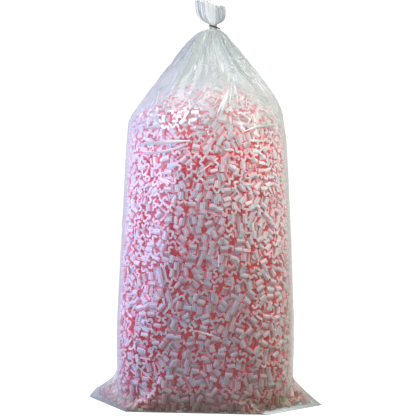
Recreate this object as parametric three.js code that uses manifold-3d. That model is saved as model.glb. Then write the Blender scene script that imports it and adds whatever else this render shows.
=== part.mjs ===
// A clear polyethylene bag of loose-fill packing peanuts, 14 cubic feet, tied shut with a twist tie.
// Millimetres, +Z up. The bag stands on its base at z = 0 and the seam's two corners point along X.
// The origin is on the floor, midway between the corner tips and midway between front and back.
//
//   bag_film      one lay-flat tube of film, sealed across the bottom and gathered to a neck at the top
//   twist_tie     one covered wire, once round the neck and twisted together
//   peanut_fill   the bulk of the peanuts, joined into one solid
//   peanut_01..   the peanuts that lie loose on top of the heap
import * as THREE from "three";
import { mergeVertices } from "three/addons/utils/BufferGeometryUtils.js";
import Module from "manifold-3d";

const wasm = await Module();
wasm.setup();

const { lerp, smoothstep, degToRad } = THREE.MathUtils;

// ---- Driving dimensions ----

const FILM_THICKNESS = 0.1;
const FILM_GAP = 1.6; // between the film and the fill's outer faces

const SHOULDER_Z = 1075; // where the straight body ends and the film draws in to the neck
const NECK_Z = 1445;
const MOUTH_Z = 1548;
const NECK_RADIUS = 13;
const NECK_HALF = 8; // the neck is straight for this far above and below the tie

// Half width, half depth and height of the bag's cross-section, from the floor to the cut mouth.
const BAG_PROFILE = [
  [300, 285, 0],
  [319, 295, 6],
  [326, 299, 20],
  [331, 302, 37],
  [334, 304, 60],
  [336, 305, 83],
  [337, 306, 110],
  [337, 307, 145],
  [339, 308, 270],
  [331, 305, 540],
  [320, 296, 800],
  [309, 287, 1000],
  [300, 277, SHOULDER_Z],
  [281, 257, 1130],
  [250, 227, 1185],
  [203, 182, 1245],
  [156, 138, 1305],
  [110, 98, 1362],
  [70, 63, 1405],
  [36, 33, 1428],
  [NECK_RADIUS, NECK_RADIUS, NECK_Z - NECK_HALF],
  [NECK_RADIUS, NECK_RADIUS, NECK_Z + NECK_HALF],
  [24, 19, 1459],
  [40, 28, 1472],
  [48, 32, 1490],
  [52, 34, 1515],
  [52, 37, MOUTH_Z],
];
const BODY_AXIS_X = 10; // the body's own axis, off the midpoint of the two corner tips
const NECK_AXIS_X = 36;

// Height and X of the middle of the cross-section. The neck is tied to the right of the body's axis.
const AXIS_X = [
  [0, BODY_AXIS_X],
  [SHOULDER_Z, BODY_AXIS_X],
  [1130, 19],
  [1185, 25],
  [1245, 23],
  [1362, 23],
  [1428, 29],
  [NECK_Z - NECK_HALF, NECK_AXIS_X],
  [NECK_Z + NECK_HALF, NECK_AXIS_X],
  [1490, 29],
  [MOUTH_Z, 25],
];

// The corners of the bottom seam: where each points from the body's axis, and its reach by height.
const LEFT_CORNER = {
  bearing: degToRad(176),
  reach: [
    [0, 458],
    [6, 461],
    [20, 449],
    [37, 434],
    [60, 395],
    [83, 364],
    [110, 354],
    [144, 338],
  ],
};
const RIGHT_CORNER = {
  bearing: degToRad(-16),
  reach: [
    [0, 457.5],
    [6, 449],
    [20, 429],
    [37, 408],
    [60, 382],
    [83, 358],
    [110, 330],
  ],
};
const CORNER_TAPER = 0.65; // a corner's wedge narrows by this much for each unit of width
const FLOOR_TURN = degToRad(-6); // the base is turned this far from square, and the shoulder not at all
const EMPTY_CORNER = 30; // no peanut fits in the last stretch of each corner

const SQUARE_AT_FLOOR = 3.3; // superellipse exponent of the cross-section; 2 is an ellipse
const ROUND = 2;
const PLEATS = 12;
const NECK_PLEAT = 0.16; // pleat depth as a share of the radius
const MOUTH_PLEAT = 0.26;

const COLUMNS = 4 * PLEATS; // mesh columns round the bag, four to a pleat
const CORNER_CROWDING = 0.38; // draws the columns towards the two corners

const HEAP_RISE = 128; // how far the heap's crown stands above its rim
const HEAP_RINGS = 5;

// One S-shaped peanut: two half-round bends of extruded foam, cut to length.
const PEANUT_WALL = 8;
const PEANUT_BEND = 7.1; // radius of each bend's middle line
const PEANUT_CUT = 28;
const PEANUT_CURL = degToRad(20); // how far each free end curls past a half circle
const PEANUT_ARC_SIDES = 5;

const LOOSE_PEANUTS = 32;
const LOOSE_SPACING = 31;
const REST_GAP = 0.5;
const GOLDEN_ANGLE = Math.PI * (3 - Math.sqrt(5));
const YAW_STEP = 0.7;

const TIE_RIBBON = 4; // the covered wire's width
const TIE_THICKNESS = 1.2;
const TIE_CORE_BULGE = 0.4;
const TIE_GAP = 0.4;
const TIE_TILT = degToRad(14); // the loop hangs lower on the right
const TIE_LOOP_SIDES = 24;
const TIE_TWIST_LENGTH = 24;
const TIE_TWIST_TURNS = 2.5;
const TIE_STEPS_PER_TURN = 6;
const TIE_STRAND = 1.4; // radius of one strand in the twist
const TIE_HELIX = 1.2; // radius of the path each strand's middle follows
const TIE_TWIST_BEARING = degToRad(-62); // where on the neck the twist starts, from +X
const TIE_TWIST_DIRECTION = [0.78, -0.5, -0.25];

// ---- Colours ----

const FILM_LOOK = new THREE.MeshStandardMaterial({
  color: 0xdfe6e4,
  roughness: 0.12,
  metalness: 0,
  transparent: true,
  opacity: 0.3,
  side: THREE.DoubleSide,
});
const FOAM_LOOK = new THREE.MeshStandardMaterial({ color: 0xf3c4cf, roughness: 0.85, metalness: 0 });
const BULK_LOOK = new THREE.MeshStandardMaterial({ color: 0xe27c93, roughness: 0.9, metalness: 0 });
const TIE_LOOK = new THREE.MeshStandardMaterial({ color: 0x3a2318, roughness: 0.55, metalness: 0 });

// ---- Small helpers ----

// Reads a table of [height, value] rows at a height, straight between rows; past its end the value is 0.
function readTable(table, z) {
  const next = table.findIndex(([height]) => height >= z);
  if (next < 0) return 0;
  if (next === 0) return table[0][1];
  const [z0, v0] = table[next - 1];
  const [z1, v1] = table[next];
  return lerp(v0, v1, (z - z0) / (z1 - z0));
}

function toSolid(geometry) {
  const bare = geometry.clone();
  bare.deleteAttribute("normal");
  bare.deleteAttribute("uv");
  const merged = mergeVertices(bare, 1e-4);
  return new wasm.Manifold(
    new wasm.Mesh({
      numProp: 3,
      vertProperties: merged.attributes.position.array,
      triVerts: new Uint32Array(merged.index.array),
    }),
  );
}

function toGeometry(solid) {
  const { vertProperties, triVerts } = solid.getMesh();
  const geometry = new THREE.BufferGeometry();
  geometry.setAttribute("position", new THREE.BufferAttribute(vertProperties, 3));
  geometry.setIndex(new THREE.BufferAttribute(triVerts, 1));
  geometry.computeVertexNormals();
  return geometry;
}

function named(name, geometry, material) {
  const mesh = new THREE.Mesh(geometry, material);
  mesh.name = name;
  return mesh;
}

// ---- The bag's surface ----

// The direction of column i round the bag. The columns crowd towards the two corners, and one meets each.
function columnAngle(i) {
  const even = (2 * Math.PI * i) / COLUMNS;
  const onRight = Math.max(Math.cos(even), 0) ** 2;
  const onLeft = Math.max(-Math.cos(even), 0) ** 2;
  const toCorners = onRight * RIGHT_CORNER.bearing + onLeft * (LEFT_CORNER.bearing - Math.PI);
  return even - (CORNER_CROWDING / 2) * Math.sin(2 * even) + toCorners;
}

function axisX(z) {
  return readTable(AXIS_X, z);
}

function pleatDepth(z) {
  const belowTie = smoothstep(z, SHOULDER_Z, NECK_Z) * NECK_PLEAT;
  const aboveTie = smoothstep(z, NECK_Z, MOUTH_Z) * (MOUTH_PLEAT - NECK_PLEAT);
  return belowTie + aboveTie;
}

// Distance from the axis to the film at one column. shortCorner draws the corners in.
function reachAt(i, section, shortCorner = 0) {
  const { x: halfWidth, y: halfDepth, z } = section;
  const angle = columnAngle(i);
  const upBody = smoothstep(z, 0, SHOULDER_Z);
  const turned = angle - lerp(FLOOR_TURN, 0, upBody);
  const across = Math.abs(Math.cos(turned));
  const along = Math.abs(Math.sin(turned));
  const power = lerp(SQUARE_AT_FLOOR, ROUND, upBody);
  const body = ((across / halfWidth) ** power + (along / halfDepth) ** power) ** (-1 / power);
  const corner = Math.cos(angle) > 0 ? RIGHT_CORNER : LEFT_CORNER;
  const aside = angle - corner.bearing;
  const tip = Math.max(readTable(corner.reach, z) - shortCorner, 0);
  const wedge = tip / (Math.abs(Math.cos(aside)) + CORNER_TAPER * Math.abs(Math.sin(aside)));
  const flatFront = halfDepth / along; // the wedge stops level with the front and the back
  const fold = Math.cos((2 * Math.PI * PLEATS * i) / COLUMNS);
  return Math.max(body, Math.min(wedge, flatFront)) * (1 + pleatDepth(z) * fold);
}

function ringAt(section, inset = 0, shortCorner = 0) {
  return Array.from({ length: COLUMNS }, (_, i) => {
    const reach = reachAt(i, section, shortCorner) - inset;
    const angle = columnAngle(i);
    const x = axisX(section.z) + reach * Math.cos(angle);
    return new THREE.Vector3(x, reach * Math.sin(angle), section.z);
  });
}

const sections = BAG_PROFILE.map((row) => new THREE.Vector3(...row));

// Adds the triangles between two rings, each given by its first vertex. They face out where b is above a.
function addBand(index, a, b) {
  for (let i = 0; i < COLUMNS; i++) {
    const j = (i + 1) % COLUMNS;
    index.push(a + i, a + j, b + j, a + i, b + j, b + i);
  }
}

// Closes a ring onto one vertex: from below where way is 1, and from above where it is -1.
function addFan(index, ring, pole, way) {
  for (let i = 0; i < COLUMNS; i++) {
    const pair = [ring + ((i + 1) % COLUMNS), ring + i];
    index.push(pole, ...(way > 0 ? pair : pair.reverse()));
  }
}

// A skin of rings above one pole in the floor, with its first vertex at the pole.
function skinIndex(rings, pole) {
  const index = [];
  addFan(index, pole + 1, pole, 1);
  for (let ring = 0; ring < rings - 1; ring++) {
    addBand(index, pole + 1 + ring * COLUMNS, pole + 1 + (ring + 1) * COLUMNS);
  }
  return index;
}

function meshOf(points, index) {
  const geometry = new THREE.BufferGeometry().setFromPoints(points);
  geometry.setIndex(index);
  geometry.computeVertexNormals();
  return geometry;
}

// The film: an outer skin and an inner one that meet at the cut mouth, both closed across the base.
function filmGeometry() {
  const pole = new THREE.Vector3(BODY_AXIS_X, 0, 0);
  const outer = [pole, ...sections.flatMap((section) => ringAt(section))];
  const outerIndex = skinIndex(sections.length, 0);
  const normal = meshOf(outer, outerIndex).attributes.normal;
  const inner = outer.map((p, i) => {
    const inward = new THREE.Vector3().fromBufferAttribute(normal, i).multiplyScalar(-FILM_THICKNESS);
    return p.clone().add(inward);
  });
  const innerIndex = skinIndex(sections.length, outer.length).reverse();
  const mouth = [];
  const topRing = outer.length - COLUMNS;
  addBand(mouth, topRing, topRing + outer.length);
  return meshOf([...outer, ...inner], [...outerIndex, ...innerIndex, ...mouth]);
}

// ---- The peanuts ----

const FILL_BASE_Z = FILM_THICKNESS + FILM_GAP;
const heapRim = sections.find(({ z }) => z === SHOULDER_Z);

// Height of the heap at a share of the way from its axis to its rim.
function heapHeight(share) {
  return SHOULDER_Z + HEAP_RISE * (1 - share ** 2);
}

// The heap of peanuts: the film's own section, drawn in all round, under a domed crown.
function fillGeometry() {
  const base = sections[0].clone().setZ(FILL_BASE_Z);
  const body = sections.filter(({ z }) => z > FILL_BASE_Z && z <= SHOULDER_Z);
  const walls = [base, ...body].map((section) => ringAt(section, FILM_GAP + FILM_THICKNESS, EMPTY_CORNER));
  const rim = walls.at(-1);
  const crown = Array.from({ length: HEAP_RINGS - 1 }, (_, ring) => {
    const share = 1 - (ring + 1) / HEAP_RINGS;
    return rim.map((p) => new THREE.Vector3(lerp(BODY_AXIS_X, p.x, share), p.y * share, heapHeight(share)));
  });
  const rings = [...walls, ...crown];
  const top = new THREE.Vector3(BODY_AXIS_X, 0, heapHeight(0));
  const points = [new THREE.Vector3(BODY_AXIS_X, 0, FILL_BASE_Z), ...rings.flat(), top];
  const index = skinIndex(rings.length, 0);
  addFan(index, points.length - 1 - COLUMNS, points.length - 1, -1);
  return meshOf(points, index);
}

// The S-shaped section, extruded to the cut length and centred on the origin, with the S in the XZ plane.
function peanutGeometry() {
  const half = PEANUT_WALL / 2;
  const outerRadius = PEANUT_BEND + half;
  const innerRadius = PEANUT_BEND - half;
  const outline = new THREE.Shape();
  outline.absarc(-PEANUT_BEND, 0, outerRadius, Math.PI + PEANUT_CURL, 0, true);
  outline.absarc(PEANUT_BEND, 0, innerRadius, Math.PI, 2 * Math.PI + PEANUT_CURL, false);
  outline.absarc(PEANUT_BEND, 0, outerRadius, PEANUT_CURL, -Math.PI, true);
  outline.absarc(-PEANUT_BEND, 0, innerRadius, 0, Math.PI + PEANUT_CURL, false);
  outline.closePath();
  const cut = { depth: PEANUT_CUT, bevelEnabled: false, curveSegments: PEANUT_ARC_SIDES };
  const geometry = new THREE.ExtrudeGeometry(outline, cut);
  geometry.translate(0, 0, -PEANUT_CUT / 2);
  geometry.rotateX(Math.PI / 2);
  return toGeometry(toSolid(geometry));
}

// Three ways for a peanut to lie: on its bends, on its cut end, and on its rounded end.
const QUARTER_TURN = Math.PI / 2;
const LYING = [
  { turn: [0, 0, 0], height: 2 * PEANUT_BEND + PEANUT_WALL },
  { turn: [QUARTER_TURN, 0, 0], height: PEANUT_CUT },
  { turn: [0, QUARTER_TURN, 0], height: 4 * PEANUT_BEND + PEANUT_WALL },
];

// One loose peanut on the crown, square to the slope there. The peanuts follow a sunflower spiral.
function loosePeanut(geometry, i) {
  const bearing = i * GOLDEN_ANGLE;
  const radius = LOOSE_SPACING * Math.sqrt(i + 0.5);
  const rim = 1 / Math.hypot(Math.cos(bearing) / heapRim.x, Math.sin(bearing) / heapRim.y) - FILM_GAP;
  const share = radius / rim;
  const x = BODY_AXIS_X + radius * Math.cos(bearing);
  const spot = new THREE.Group();
  spot.position.set(x, radius * Math.sin(bearing), heapHeight(share));
  spot.rotation.set(0, Math.atan((2 * HEAP_RISE * share) / rim), bearing, "ZYX");
  const yaw = new THREE.Group();
  yaw.rotation.z = YAW_STEP * i * i; // an uneven step, so that no two neighbours line up
  const { turn, height } = LYING[i % LYING.length];
  const peanut = named(`peanut_${String(i + 1).padStart(2, "0")}`, geometry, FOAM_LOOK);
  peanut.rotation.set(...turn);
  peanut.position.z = height / 2 + REST_GAP;
  return spot.add(yaw.add(peanut));
}

// ---- The tie ----

// One strand of the twist: a helix along a straight line, starting inside the loop.
class Strand extends THREE.Curve {
  constructor(start, end, side, phase) {
    super();
    Object.assign(this, { start, end, side, phase });
  }
  getPoint(t, target = new THREE.Vector3()) {
    const along = this.end.clone().sub(this.start).normalize();
    const lift = new THREE.Vector3().crossVectors(along, this.side).normalize();
    const turn = this.phase + 2 * Math.PI * TIE_TWIST_TURNS * t;
    return target
      .lerpVectors(this.start, this.end, t)
      .addScaledVector(this.side, TIE_HELIX * Math.cos(turn))
      .addScaledVector(lift, TIE_HELIX * Math.sin(turn));
  }
}

// The loop round the neck: the ribbon's flat section, thicker at its middle where the wire runs.
function tieLoop(inside, outside) {
  const halfWidth = TIE_RIBBON / 2;
  const section = [
    [inside, -halfWidth],
    [outside, -halfWidth],
    [outside + TIE_CORE_BULGE, 0],
    [outside, halfWidth],
    [inside, halfWidth],
    [inside, -halfWidth],
  ].map(([radius, z]) => new THREE.Vector2(radius, z));
  return new THREE.LatheGeometry(section, TIE_LOOP_SIDES).rotateX(QUARTER_TURN);
}

// The two ends twisted together, pointing down and away from the neck.
function tieStrands(startRadius) {
  const bearing = TIE_TWIST_BEARING;
  const start = new THREE.Vector3(startRadius * Math.cos(bearing), startRadius * Math.sin(bearing), 0);
  const direction = new THREE.Vector3(...TIE_TWIST_DIRECTION).normalize();
  const end = start.clone().addScaledVector(direction, TIE_TWIST_LENGTH);
  const side = new THREE.Vector3().crossVectors(direction, new THREE.Vector3(0, 0, 1)).normalize();
  const section = new THREE.Shape().absarc(0, 0, TIE_STRAND, 0, 2 * Math.PI);
  const steps = Math.round(TIE_STEPS_PER_TURN * TIE_TWIST_TURNS);
  return [0, Math.PI].map((phase) => {
    const extrudePath = new Strand(start, end, side, phase);
    const sweep = { extrudePath, steps, curveSegments: 3, bevelEnabled: false };
    return new THREE.ExtrudeGeometry(section, sweep);
  });
}

function tieGeometry() {
  const clear = NECK_RADIUS * (1 + NECK_PLEAT) + TIE_GAP;
  const inside = (clear + (TIE_RIBBON / 2) * Math.sin(TIE_TILT)) / Math.cos(TIE_TILT);
  const outside = inside + TIE_THICKNESS;
  const loop = toSolid(tieLoop(inside, outside));
  const strands = tieStrands(outside + TIE_CORE_BULGE).map(toSolid);
  return toGeometry(strands.reduce((joined, strand) => joined.add(strand), loop));
}

// ---- The whole bag ----

const bag = new THREE.Group();
bag.add(named("bag_film", filmGeometry(), FILM_LOOK));
bag.add(named("peanut_fill", fillGeometry(), BULK_LOOK));
const peanut = peanutGeometry();
for (let i = 0; i < LOOSE_PEANUTS; i++) bag.add(loosePeanut(peanut, i));
const tie = named("twist_tie", tieGeometry(), TIE_LOOK);
tie.position.set(NECK_AXIS_X, 0, NECK_Z);
tie.rotation.y = TIE_TILT;
bag.add(tie);

export default bag;
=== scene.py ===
# %% [markdown]
# # A clear bag of packing peanuts
# A tall polyethylene bag stands on the floor, full of pink S-shaped foam peanuts, gathered at the neck and
# closed with a twist tie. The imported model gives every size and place. This script makes the looks round it:
# the creased film, thousands of separate peanuts pressed against it, and the light that shows them.

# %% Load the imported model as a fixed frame
import math
import bpy
import numpy as np
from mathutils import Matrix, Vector


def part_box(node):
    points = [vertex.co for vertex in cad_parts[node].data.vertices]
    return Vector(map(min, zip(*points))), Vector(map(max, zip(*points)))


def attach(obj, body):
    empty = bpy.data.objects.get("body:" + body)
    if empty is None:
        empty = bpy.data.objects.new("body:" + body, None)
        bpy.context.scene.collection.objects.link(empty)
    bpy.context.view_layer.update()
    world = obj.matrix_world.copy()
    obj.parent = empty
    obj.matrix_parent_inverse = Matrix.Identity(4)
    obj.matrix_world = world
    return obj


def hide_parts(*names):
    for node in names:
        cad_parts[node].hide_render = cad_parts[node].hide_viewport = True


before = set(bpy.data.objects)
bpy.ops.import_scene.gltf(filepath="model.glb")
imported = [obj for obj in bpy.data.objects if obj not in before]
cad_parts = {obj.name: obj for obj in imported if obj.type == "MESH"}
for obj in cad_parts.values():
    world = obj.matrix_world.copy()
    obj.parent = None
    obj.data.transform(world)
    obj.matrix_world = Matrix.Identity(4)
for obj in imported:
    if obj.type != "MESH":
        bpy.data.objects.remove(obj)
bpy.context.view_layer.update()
MM = 0.001

# %% [markdown]
# ## Three small helpers
# Shaders work in linear light, and people choose colours in sRGB, so one function turns hex colours to linear.
# Another adds one node with its settings and links. The third makes a mesh object from arrays.

# %% A colour
def linear(hex_colour):
    """The linear RGBA colour of an sRGB hex string such as #E8A0B0."""
    shares = [int(hex_colour[i:i + 2], 16) / 255 for i in (1, 3, 5)]
    return (*[s / 12.92 if s <= 0.04045 else ((s + 0.055) / 1.055) ** 2.4 for s in shares], 1.0)


print("middle grey, #808080, is", round(linear("#808080")[0], 3), "in linear light")


# %% A node, and a mesh object
def add_node(tree, kind, inputs=None, **settings):
    """Adds one node. inputs maps a socket's name or number to a value or to another node's output."""
    node = tree.nodes.new(kind)
    for name, value in settings.items():
        setattr(node, name, value)
    for name, value in (inputs or {}).items():
        if isinstance(value, bpy.types.NodeSocket):
            tree.links.new(value, node.inputs[name])
        else:
            node.inputs[name].default_value = value
    return node


def mesh_object(name, points, faces):
    """A smooth-shaded mesh object at the origin, from points in metres and faces that index them."""
    mesh = bpy.data.meshes.new(name)
    mesh.from_pydata(np.asarray(points).tolist(), [], [list(map(int, face)) for face in faces])
    mesh.shade_smooth()
    made = bpy.data.objects.new(name, mesh)
    bpy.context.scene.collection.objects.link(made)
    return made


# %% [markdown]
# ## The camera
# The bag is seen from the front, from a little above the middle of its height and some metres away, so it looks
# nearly straight. A long lens keeps that view. The camera tilts down a touch, and needs no shift.

# %% Camera
CAMERA_DISTANCE = 4.5
CAMERA_HEIGHT = 0.873
VIEW_CENTRE = (0.0235, 0.0, 0.736)
VIEW_WIDTH = 1.63  # metres of the middle plane that fit across the picture

camera_data = bpy.data.cameras.new("camera")
camera_data.sensor_width = 36
reach_to_plane = math.hypot(CAMERA_DISTANCE, CAMERA_HEIGHT - VIEW_CENTRE[2])
camera_data.lens = camera_data.sensor_width * reach_to_plane / VIEW_WIDTH
camera = bpy.data.objects.new("camera", camera_data)
bpy.context.scene.collection.objects.link(camera)
camera.location = (VIEW_CENTRE[0], -CAMERA_DISTANCE, CAMERA_HEIGHT)
camera.rotation_euler = (math.pi / 2 - math.atan((CAMERA_HEIGHT - VIEW_CENTRE[2]) / CAMERA_DISTANCE), 0, 0)
bpy.context.scene.camera = camera
print("lens in mm:", round(camera_data.lens, 1))

# %% [markdown]
# ## The bag's surface as a formula
# The bag is a tube round an upright axis: at each height it has a half width and a half depth, squarish at the
# floor and round above. Two pointed corners of the bottom seam stick out along X. These are the model's own
# numbers, in millimetres, so that the fine film lies where the model's film does. A smooth curve runs through
# the rows, because a straight one would show a line in every highlight.

# %% Sizes of the bag, as in the model
BAG_PROFILE = np.array([
    (300, 285, 0), (319, 295, 6), (326, 299, 20), (331, 302, 37), (334, 304, 60), (336, 305, 83), (337, 306, 110),
    (337, 307, 145), (339, 308, 270), (331, 305, 540), (320, 296, 800), (309, 287, 1000), (300, 277, 1075),
    (281, 257, 1130), (250, 227, 1185), (203, 182, 1245), (156, 138, 1305), (110, 98, 1362), (70, 63, 1405),
    (36, 33, 1428), (13, 13, 1437), (13, 13, 1453), (24, 19, 1459), (40, 28, 1472), (48, 32, 1490), (52, 34, 1515),
    (52, 37, 1548),
]) * MM  # half width, half depth, height
AXIS_X = np.array([
    (0, 10), (1075, 10), (1130, 19), (1185, 25), (1245, 23), (1362, 23), (1428, 29), (1437, 36), (1453, 36),
    (1490, 29), (1548, 25),
]) * MM  # height, middle of the cross-section
LEFT_BEARING = math.radians(176)
RIGHT_BEARING = math.radians(-16)
LEFT_CORNER = np.array([
    (0, 458), (6, 461), (20, 449), (37, 434), (60, 395), (83, 364), (110, 354), (144, 338), (145, 0)]) * MM
RIGHT_CORNER = np.array([
    (0, 457.5), (6, 449), (20, 429), (37, 408), (60, 382), (83, 358), (110, 330), (111, 0)]) * MM
CORNER_TAPER = 0.65
FLOOR_TURN = math.radians(-6)
SQUARE_AT_FLOOR = 3.3
ROUND = 2.0
BODY_AXIS_X = 10 * MM
SHOULDER_Z = 1075 * MM
NECK_Z = 1445 * MM
MOUTH_Z = 1548 * MM
NECK_PLEAT = 0.16
HEAP_RISE = 128 * MM


# %% The formula
def smoothstep(value, low, high):
    share = np.clip((value - low) / (high - low), 0, 1)
    return share * share * (3 - 2 * share)


def smooth_curve(places, values):
    """A smooth curve through points that never swings past them."""
    step = np.diff(places)
    slope = np.diff(values) / step
    before, after = slope[:-1], slope[1:]
    same_way = before * after > 0
    weight_a, weight_b = 2 * step[1:] + step[:-1], step[1:] + 2 * step[:-1]
    safe = np.where(same_way, weight_a * after + weight_b * before, 1)
    middle = np.where(same_way, (weight_a + weight_b) * before * after / safe, 0)
    tangent = np.concatenate([slope[:1], middle, slope[-1:]])

    def curve(place):
        i = np.clip(np.searchsorted(places, place, side="right") - 1, 0, len(step) - 1)
        t = np.clip((place - places[i]) / step[i], 0, 1)
        start = (1 + 2 * t) * (1 - t) ** 2 * values[i] + t * (1 - t) ** 2 * step[i] * tangent[i]
        end = t * t * (3 - 2 * t) * values[i + 1] + t * t * (t - 1) * step[i] * tangent[i + 1]
        return start + end

    return curve


half_width = smooth_curve(BAG_PROFILE[:, 2], BAG_PROFILE[:, 0])
half_depth = smooth_curve(BAG_PROFILE[:, 2], BAG_PROFILE[:, 1])
axis_x = smooth_curve(AXIS_X[:, 0], AXIS_X[:, 1])


def bag_reach(angle, z, short_corner=0.0):
    """Distance from the axis to the film. short_corner draws the two corners in."""
    up_body = smoothstep(z, 0, SHOULDER_Z)
    turned = angle - FLOOR_TURN * (1 - up_body)
    across, along = np.abs(np.cos(turned)), np.abs(np.sin(turned)) + 1e-9
    power = SQUARE_AT_FLOOR + (ROUND - SQUARE_AT_FLOOR) * up_body
    body = ((across / half_width(z)) ** power + (along / half_depth(z)) ** power) ** (-1 / power)
    on_right = np.cos(angle) > 0
    tip = np.where(on_right, np.interp(z, *RIGHT_CORNER.T), np.interp(z, *LEFT_CORNER.T))
    aside = angle - np.where(on_right, RIGHT_BEARING, LEFT_BEARING)
    wedge = np.maximum(tip - short_corner, 0) / (np.abs(np.cos(aside)) + CORNER_TAPER * np.abs(np.sin(aside)))
    return np.maximum(body, np.minimum(wedge, half_depth(z) / along))


def heap_height(share):
    """Height of the heap of peanuts at a share of the way from the axis to the rim."""
    return SHOULDER_Z + HEAP_RISE * (1 - share ** 2)


print("reach to the left corner:", round(float(bag_reach(LEFT_BEARING, 6 * MM)), 3))

# %% [markdown]
# ## One peanut
# A loose-fill peanut is foam that was pushed through an S-shaped die and cut off with a hot wire. So it is one
# outline pushed straight through: two half-round bends of even thickness. It is repeated thousands of times, so
# it has only a few dozen faces. Its edges are marked sharp, and its bends are shaded smooth.

# %% The peanut's outline and mesh
PEANUT_WALL = 8 * MM
PEANUT_BEND = 7.1 * MM
PEANUT_CUT = 28 * MM
PEANUT_CURL = math.radians(20)
OUTER_SIDES = 7
INNER_SIDES = 3
SHARP_EDGE = math.radians(50)


def arc(centre_x, radius, start, end, sides):
    turn = np.linspace(start, end, sides + 1)
    return [(centre_x + radius * math.cos(a), radius * math.sin(a)) for a in turn]


def peanut_outline():
    outer, inner = PEANUT_BEND + PEANUT_WALL / 2, PEANUT_BEND - PEANUT_WALL / 2
    full = math.pi + PEANUT_CURL
    line = arc(-PEANUT_BEND, outer, full, 0, OUTER_SIDES)
    line += arc(PEANUT_BEND, inner, math.pi, math.pi + full, INNER_SIDES)[1:]
    line += arc(PEANUT_BEND, outer, PEANUT_CURL, -math.pi, OUTER_SIDES)
    line += arc(-PEANUT_BEND, inner, 0, full, INNER_SIDES)[1:]
    return line


outline = peanut_outline()
count = len(outline)
peanut_points = [(x, side * PEANUT_CUT / 2, z) for side in (-1, 1) for x, z in outline]
peanut_faces = [(i, (i + 1) % count, (i + 1) % count + count, i + count) for i in range(count)]
peanut_faces += [tuple(reversed(range(count))), tuple(range(count, 2 * count))]
peanut_shape = mesh_object("peanut_shape", peanut_points, peanut_faces)
peanut_shape.data.set_sharp_from_angle(angle=SHARP_EDGE)
own_place = peanut_shape.data.attributes.new("own_place", "FLOAT_VECTOR", "POINT")
own_place.data.foreach_set("vector", np.ravel(peanut_points))
peanut_shape.hide_render = True
print("peanut:", len(peanut_faces), "faces")

# %% [markdown]
# ## Packing the peanuts
# Loose peanuts don't lie in a pattern. They jam against each other and press flat against the film. A physics
# engine could drop thousands of them, but that takes far longer than the rest of the scene. Instead, each peanut
# is a cluster of small balls. Every step pushes apart balls that overlap, pushes them in from the film, and then
# fits each peanut's rigid shape back to its balls. About a hundred steps give a tight, random pack. Only the
# outer layers can be seen, so only they are packed; one lumpy solid stands for the unseen middle.

# %% The space that the peanuts fill
FILM_CLEARANCE = 2.4 * MM
SEAM_SLACK = 17 * MM  # no peanut fits in the tube's two flat side folds, which stand this far out
EMPTY_CORNER = 14 * MM  # the tips of the bottom corners stay empty
SHELL_DEPTH = 61 * MM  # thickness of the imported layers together
LOOSE_TOP = 22 * MM  # the top layer stands this far above the model's heap
CROWN_LUMP = 7 * MM
SEAM_SPREAD = 0.26  # how far round the tube a side fold reaches
SEAM_START = (0.11, 0.2)  # heights between which the side folds begin
ANGLES = 720
HEIGHTS = 260
FILL_TOP = 1.3

grid_angle = np.linspace(-math.pi, math.pi, ANGLES + 1)
grid_z = np.linspace(0, FILL_TOP, HEIGHTS + 1)
ANGLE, HEIGHT = np.meshgrid(grid_angle, grid_z)
fold = np.exp(-(np.sin(ANGLE) / SEAM_SPREAD) ** 2) * smoothstep(HEIGHT, *SEAM_START)
WALL = bag_reach(ANGLE, HEIGHT, EMPTY_CORNER) - FILM_CLEARANCE - SEAM_SLACK * fold
WALL_BY_ANGLE = np.gradient(WALL, grid_angle, axis=1)
WALL_BY_HEIGHT = np.gradient(WALL, grid_z, axis=0)
print("the fill reaches", round(float(WALL.max()), 3), "m from the axis")


# %% Depth at any point
def read_grid(table, angle, z):
    """Reads a table of the wall between its points."""
    column = np.clip((angle + math.pi) / (2 * math.pi) * ANGLES, 0, ANGLES - 1e-6)
    row = np.clip(z / FILL_TOP * HEIGHTS, 0, HEIGHTS - 1e-6)
    i, j = row.astype(int), column.astype(int)
    a, b = row - i, column - j
    low = table[i, j] * (1 - b) + table[i, j + 1] * b
    high = table[i + 1, j] * (1 - b) + table[i + 1, j + 1] * b
    return low * (1 - a) + high * a


def depths(points):
    """Depth inside the wall, under the crown and above the floor, with the outward normal of each."""
    x, y, z = points[:, 0] - BODY_AXIS_X, points[:, 1], points[:, 2]
    reach, angle = np.hypot(x, y) + 1e-9, np.arctan2(y, x)
    radial = np.stack([x / reach, y / reach, 0 * x], 1)
    round_about = np.stack([-y / reach, x / reach, 0 * x], 1)
    upright = np.array([0, 0, 1.0])
    wall = read_grid(WALL, angle, z)
    slope = read_grid(WALL_BY_ANGLE, angle, z) / reach
    lean = read_grid(WALL_BY_HEIGHT, angle, z)
    side_normal = radial - slope[:, None] * round_about - lean[:, None] * upright
    length = np.linalg.norm(side_normal, axis=1)
    rim = read_grid(WALL, angle, np.full_like(z, SHOULDER_Z))
    share = np.minimum(reach / rim, 1.05)
    lumps = CROWN_LUMP * np.sin(31 * x + 1.3) * np.sin(27 * y + 0.4)
    crown_normal = radial * (2 * HEAP_RISE * share / rim)[:, None] + upright
    steep = np.linalg.norm(crown_normal, axis=1)
    crown = (heap_height(share) + LOOSE_TOP + lumps - z) / steep
    floor_normal = np.broadcast_to(-upright, points.shape)
    return (
        np.stack([(wall - reach) / length, crown, z - FILM_CLEARANCE], 1),
        np.stack([side_normal / length[:, None], crown_normal / steep[:, None], floor_normal], 1),
    )


def shell_place(points):
    """Depth below the nearest outer face of the fill, and that face's outward normal."""
    depth, normal = depths(points)
    nearest = np.arange(len(points)), depth.argmin(axis=1)
    return depth[nearest], normal[nearest]


# %% [markdown]
# A peanut lies against the film in one of three ways: on its broad face, on a cut end so that the S shows, or
# on a rounded end. The first two are far more common. Places are spread evenly over the walls, crown and base,
# layer below layer, and each gets a random turn.

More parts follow.
